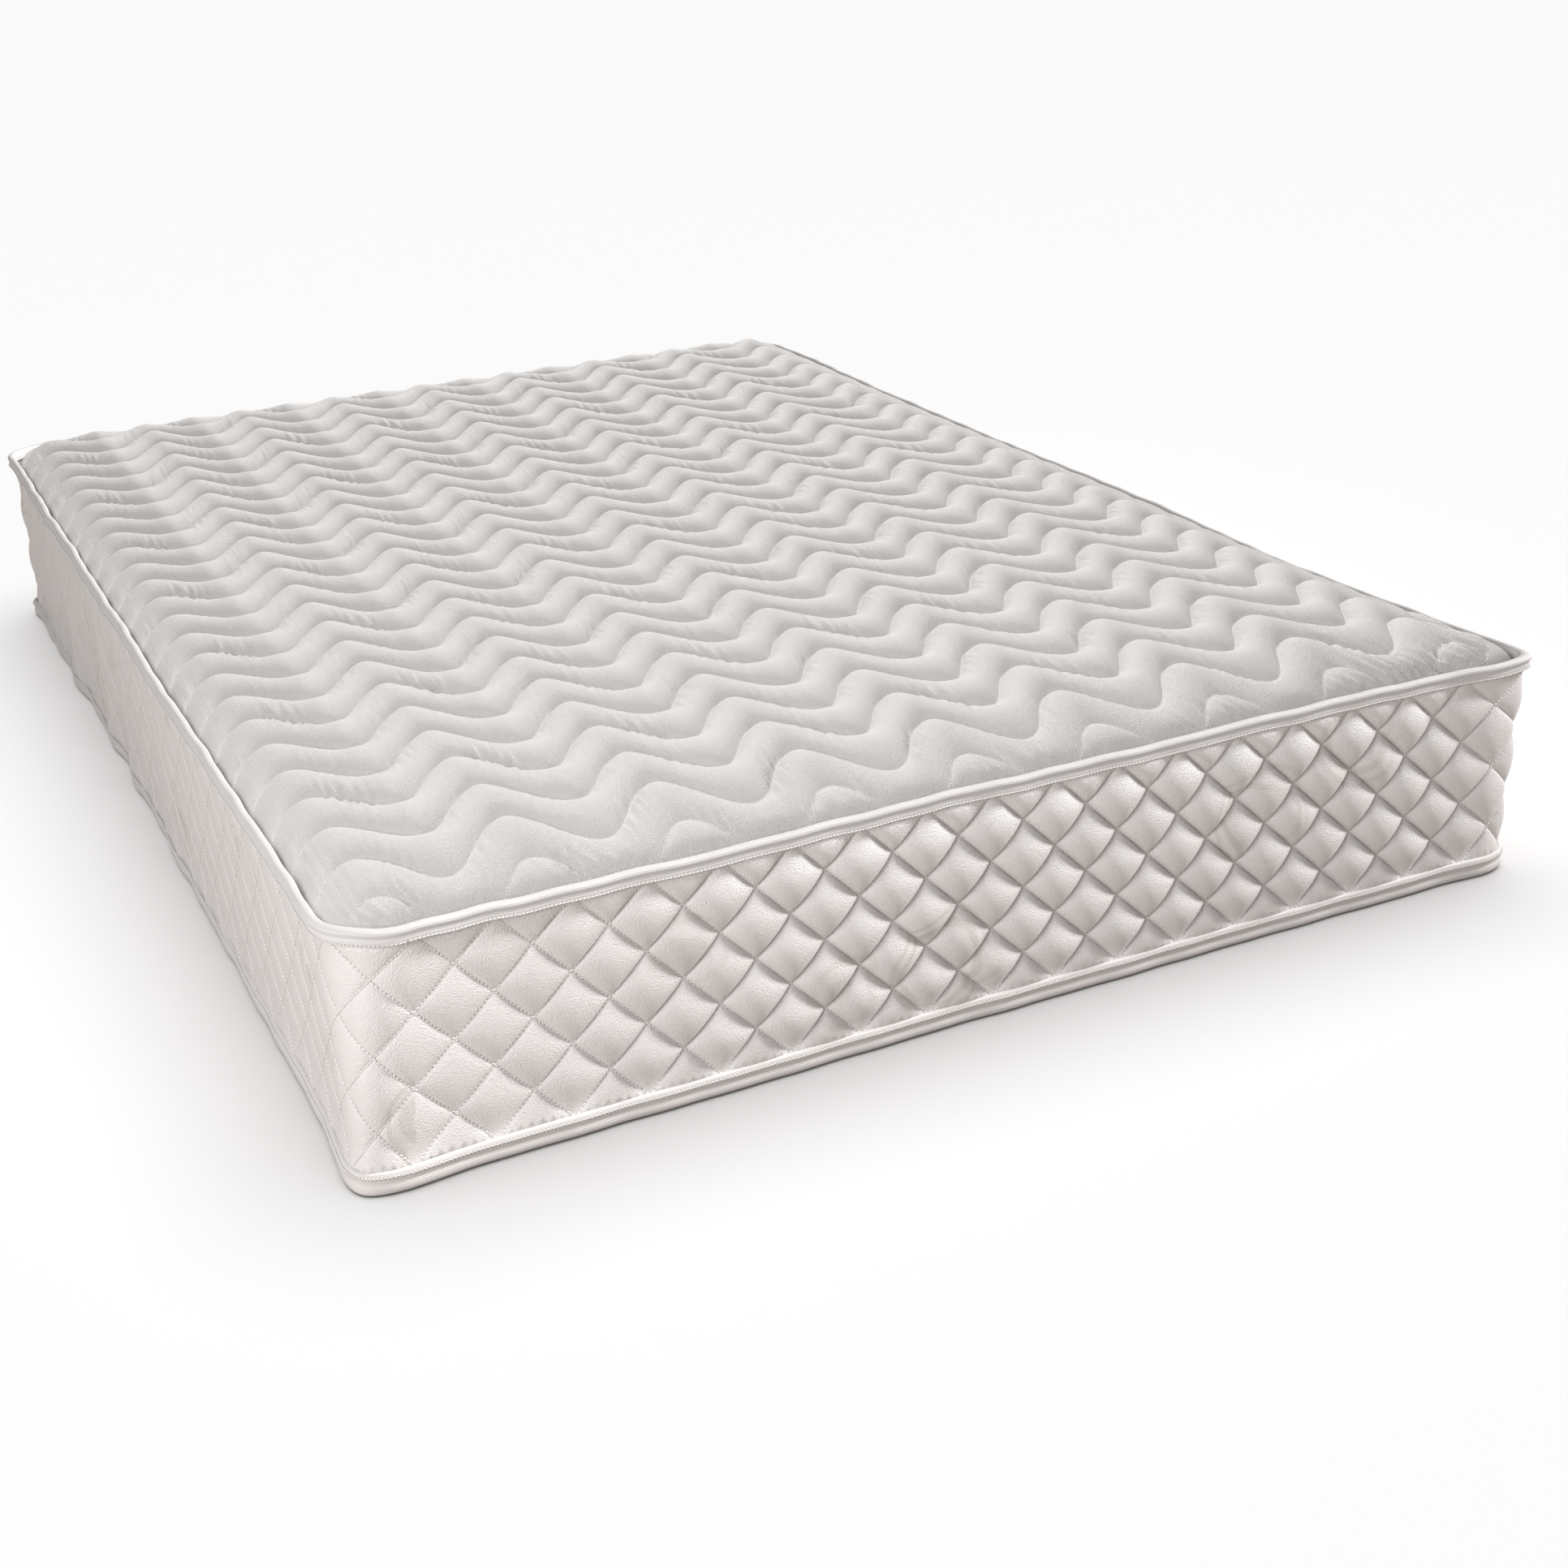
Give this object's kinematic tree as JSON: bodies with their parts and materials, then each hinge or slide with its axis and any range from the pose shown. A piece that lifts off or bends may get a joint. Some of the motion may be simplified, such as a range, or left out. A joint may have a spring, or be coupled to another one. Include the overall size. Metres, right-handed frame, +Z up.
{
  "type": "memory foam mattress",
  "caption": "Rectangular foam mattress with round corners: wave-quilted crowned top, diamond-quilted border and folded edge tapes round top and bottom.",
  "frame": {"origin": "centre of the footprint, on the surface that the mattress rests on", "axes": "+X across the width, +Y along the length from the foot end to the head end, +Z up"},
  "size_m": [1.4, 2, 0.3],
  "materials": {
    "top_ticking": "matte",
    "border_ticking": "satin",
    "bottom_ticking": "matte",
    "edge_tape": "satin",
    "sewing_thread": "satin",
    "fibre_wadding": "matte",
    "backing_fleece": "matte",
    "quilting_foam": "matte",
    "liner_knit": "matte",
    "memory_foam": "matte",
    "transition_foam": "matte",
    "support_foam": "matte",
    "rail_foam": "matte"
  },
  "bodies": {
    "root": {"top_panel_ticking": "top_ticking", "top_panel_fibre_wadding": "fibre_wadding", "top_panel_quilting_foam": "quilting_foam", "top_panel_backing": "backing_fleece", "border_ticking": "border_ticking", "border_wadding": "fibre_wadding", "border_backing": "backing_fleece", "bottom_panel_ticking": "bottom_ticking", "bottom_panel_wadding": "fibre_wadding", "bottom_panel_backing": "backing_fleece", "top_edge_tape": "edge_tape", "bottom_edge_tape": "edge_tape", "top_tape_stitching": "sewing_thread", "bottom_tape_stitching": "sewing_thread", "liner_cap": "liner_knit", "liner_base": "liner_knit", "memory_foam_layer": "memory_foam", "transition_foam_layer": "transition_foam", "support_foam_core": "support_foam", "edge_rail_left": "rail_foam", "edge_rail_right": "rail_foam", "edge_rail_foot": "rail_foam", "edge_rail_head": "rail_foam"}
  },
  "joints": []
}
